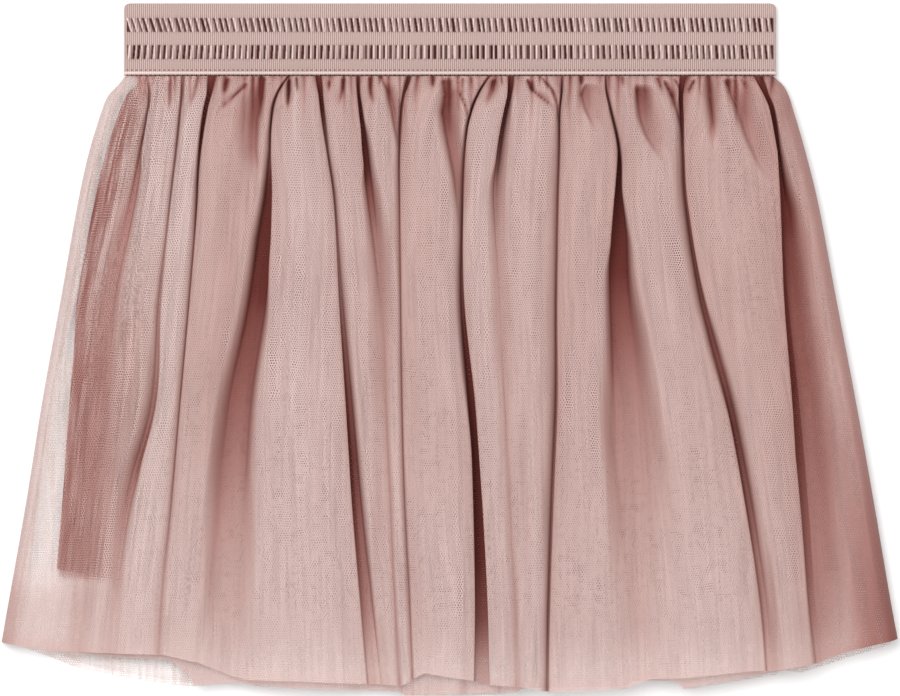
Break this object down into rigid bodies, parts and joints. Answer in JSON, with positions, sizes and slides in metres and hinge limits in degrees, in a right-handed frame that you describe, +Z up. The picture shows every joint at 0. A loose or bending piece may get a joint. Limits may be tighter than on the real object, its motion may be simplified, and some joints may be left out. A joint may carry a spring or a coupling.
{
  "type": "skirt",
  "caption": "Child's gathered soft net skirt laid flat, with a smocked elastic waistband, two nets and a shorter lining",
  "frame": {"origin": "middle of the skirt's outline, on the surface that it lies on", "axes": "+X across the skirt to the picture's right, +Y from the hem to the waistband, +Z up from the surface, out of the skirt's front"},
  "size_m": [0.331, 0.2556, 0.0188],
  "materials": {
    "net": "soft fine net",
    "elastic": "smocked elastic ribs",
    "lining": "smooth matt cloth"
  },
  "bodies": {
    "root": {"waistband": "elastic", "net_outer_front": "net", "net_outer_back": "net", "net_under_front": "net", "net_under_back": "net", "lining_front": "lining", "lining_back": "lining"}
  },
  "joints": []
}
